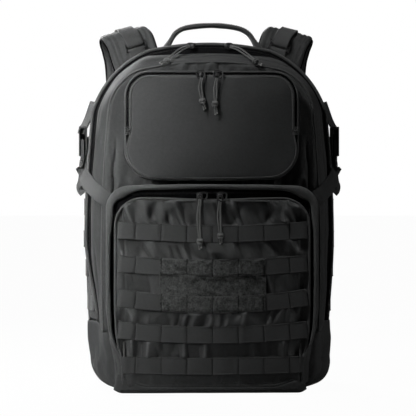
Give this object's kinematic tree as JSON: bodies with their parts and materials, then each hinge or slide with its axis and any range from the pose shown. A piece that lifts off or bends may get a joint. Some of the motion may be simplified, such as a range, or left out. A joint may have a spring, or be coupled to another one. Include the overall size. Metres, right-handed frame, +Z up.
{
  "type": "trauma backpack",
  "caption": "Panel-loading black nylon trauma backpack with two zip front pockets, webbing rows, side buckles, grab handle and padded straps.",
  "frame": {"origin": "centre of the flat base", "axes": "+Z up along the pack's height, +Y towards the wearer's back, +X across the width"},
  "size_m": [0.406, 0.3206, 0.5701],
  "materials": {
    "pack_nylon": "coated nylon plain weave",
    "webbing": "ribbed nylon webbing",
    "loop_pile": "loop pile",
    "spacer_mesh": "air mesh",
    "pull_cord": "braided cord",
    "buckle_plastic": "acetal",
    "frame_plastic": "polyethylene sheet",
    "zip_coil": "zip tape and coil",
    "zip_metal": "dark lacquered zinc"
  },
  "bodies": {
    "root": {"back_panel": "pack_nylon", "frame_sheet": "frame_plastic", "inner_sleeve": "pack_nylon", "rear_gusset": "pack_nylon", "rear_piping": "pack_nylon", "main_zip_rear_tape": "zip_coil", "base_boot": "pack_nylon", "back_pad_left": "spacer_mesh", "back_pad_right": "spacer_mesh", "lumbar_pad": "spacer_mesh", "shoulder_yoke": "pack_nylon", "shoulder_strap_left": "pack_nylon", "shoulder_strap_right": "pack_nylon", "strap_webbing_left": "webbing", "strap_webbing_right": "webbing", "lower_webbing_left": "webbing", "lower_webbing_right": "webbing", "side_webbing_left": "webbing", "side_webbing_right": "webbing", "side_socket_left": "buckle_plastic", "side_socket_right": "buckle_plastic"},
    "front_door": {"front_panel": "pack_nylon", "front_gusset": "pack_nylon", "main_zip_front_tape": "zip_coil", "door_mesh_pocket": "spacer_mesh", "organizer_wall": "pack_nylon", "organizer_lip": "pack_nylon", "organizer_lower_panel": "pack_nylon", "lower_webbing_row": "webbing", "upper_pocket_wall": "pack_nylon", "upper_pocket_front": "pack_nylon", "compression_strap_left": "webbing", "compression_strap_right": "webbing"},
    "organizer_cover": {"organizer_cover": "pack_nylon", "cover_webbing_rows": "webbing", "loop_panel": "loop_pile"},
    "upper_flap": {"upper_flap": "pack_nylon"},
    "grab_handle": {"grab_handle": "webbing"},
    "sternum_strap": {"sternum_clips": "buckle_plastic", "sternum_webbing_right": "webbing", "sternum_female": "buckle_plastic"},
    "sternum_release": {"sternum_male": "buckle_plastic", "sternum_webbing_left": "webbing"},
    "main_slider_left": {"main_slider_left": "zip_metal"},
    "main_slider_right": {"main_slider_right": "zip_metal"},
    "upper_slider_left": {"upper_slider_left": "zip_metal"},
    "upper_slider_right": {"upper_slider_right": "zip_metal"},
    "organizer_slider_left": {"organizer_slider_left": "zip_metal"},
    "organizer_slider_right": {"organizer_slider_right": "zip_metal"},
    "main_pull_left": {"main_pull_left": "pull_cord"},
    "main_pull_right": {"main_pull_right": "pull_cord"},
    "upper_pull_left": {"upper_pull_left": "pull_cord"},
    "upper_pull_right": {"upper_pull_right": "pull_cord"},
    "organizer_pull_left": {"organizer_pull_left": "pull_cord"},
    "organizer_pull_right": {"organizer_pull_right": "pull_cord"},
    "side_male_left": {"side_male_left": "buckle_plastic"},
    "side_male_right": {"side_male_right": "buckle_plastic"},
    "ladder_lock_left": {"ladder_lock_left": "buckle_plastic"},
    "ladder_lock_right": {"ladder_lock_right": "buckle_plastic"}
  },
  "joints": [
    {"name": "front_door_fold", "type": "hinge", "parent": "root", "child": "front_door", "pos_m": [0, -0.1, 0.01], "axis": [1, 0, 0], "range_deg": [0, 90]},
    {"name": "organizer_cover_fold", "type": "hinge", "parent": "front_door", "child": "organizer_cover", "pos_m": [0, -0.1, 0.072], "axis": [1, 0, 0], "range_deg": [0, 95]},
    {"name": "upper_flap_fold", "type": "hinge", "parent": "front_door", "child": "upper_flap", "pos_m": [0, -0.075, 0.388], "axis": [1, 0, 0], "range_deg": [0, 115]},
    {"name": "grab_handle_fold", "type": "hinge", "parent": "root", "child": "grab_handle", "pos_m": [0, 0.068, 0.5245], "axis": [1, 0, 0], "range_deg": [0, 60]},
    {"name": "sternum_height", "type": "slide", "parent": "root", "child": "sternum_strap", "axis": [0, 0, 1], "range_m": [-0.025, 0.025]},
    {"name": "sternum_release", "type": "slide", "parent": "sternum_strap", "child": "sternum_release", "axis": [-1, 0, 0], "range_m": [0, 0.025]},
    {"name": "main_slider_left_travel", "type": "hinge", "parent": "front_door", "child": "main_slider_left", "pos_m": [0, 0.0125, 0.1163], "axis": [0, -1, 0], "range_deg": [0, 9]},
    {"name": "upper_slider_left_travel", "type": "slide", "parent": "upper_flap", "child": "upper_slider_left", "axis": [-1, 0, 0], "range_m": [0, 0.055]},
    {"name": "organizer_slider_left_travel", "type": "slide", "parent": "organizer_cover", "child": "organizer_slider_left", "axis": [-1, 0, 0], "range_m": [0, 0.055]},
    {"name": "main_pull_left_lift", "type": "hinge", "parent": "main_slider_left", "child": "main_pull_left", "pos_m": [-0.0315, 0.007, 0.525], "axis": [-0.8682, 0.4471, 0.2151], "range_deg": [0, 90]},
    {"name": "upper_pull_left_lift", "type": "hinge", "parent": "upper_slider_left", "child": "upper_pull_left", "pos_m": [-0.016, -0.083, 0.469], "axis": [-1, 0, 0], "range_deg": [0, 100]},
    {"name": "organizer_pull_left_lift", "type": "hinge", "parent": "organizer_slider_left", "child": "organizer_pull_left", "pos_m": [-0.019, -0.108, 0.288], "axis": [-1, 0, 0], "range_deg": [0, 100]},
    {"name": "side_buckle_left_release", "type": "slide", "parent": "front_door", "child": "side_male_left", "axis": [0, 0, -1], "range_m": [0, 0.03]},
    {"name": "ladder_lock_left_tilt", "type": "hinge", "parent": "root", "child": "ladder_lock_left", "pos_m": [-0.141, 0.147, 0.212], "axis": [1, 0, 0], "range_deg": [0, 40]},
    {"name": "main_slider_right_travel", "type": "hinge", "parent": "front_door", "child": "main_slider_right", "pos_m": [0, 0.0125, 0.1163], "axis": [0, 1, 0], "range_deg": [0, 9]},
    {"name": "upper_slider_right_travel", "type": "slide", "parent": "upper_flap", "child": "upper_slider_right", "axis": [1, 0, 0], "range_m": [0, 0.055]},
    {"name": "organizer_slider_right_travel", "type": "slide", "parent": "organizer_cover", "child": "organizer_slider_right", "axis": [1, 0, 0], "range_m": [0, 0.055]},
    {"name": "main_pull_right_lift", "type": "hinge", "parent": "main_slider_right", "child": "main_pull_right", "pos_m": [0.0315, 0.007, 0.525], "axis": [-0.8682, -0.4471, -0.2151], "range_deg": [0, 90]},
    {"name": "upper_pull_right_lift", "type": "hinge", "parent": "upper_slider_right", "child": "upper_pull_right", "pos_m": [0.007, -0.083, 0.469], "axis": [-1, 0, 0], "range_deg": [0, 100]},
    {"name": "organizer_pull_right_lift", "type": "hinge", "parent": "organizer_slider_right", "child": "organizer_pull_right", "pos_m": [0.011, -0.108, 0.288], "axis": [-1, 0, 0], "range_deg": [0, 100]},
    {"name": "side_buckle_right_release", "type": "slide", "parent": "front_door", "child": "side_male_right", "axis": [0, 0, -1], "range_m": [0, 0.03]},
    {"name": "ladder_lock_right_tilt", "type": "hinge", "parent": "root", "child": "ladder_lock_right", "pos_m": [0.141, 0.147, 0.212], "axis": [1, 0, 0], "range_deg": [0, 40]}
  ]
}
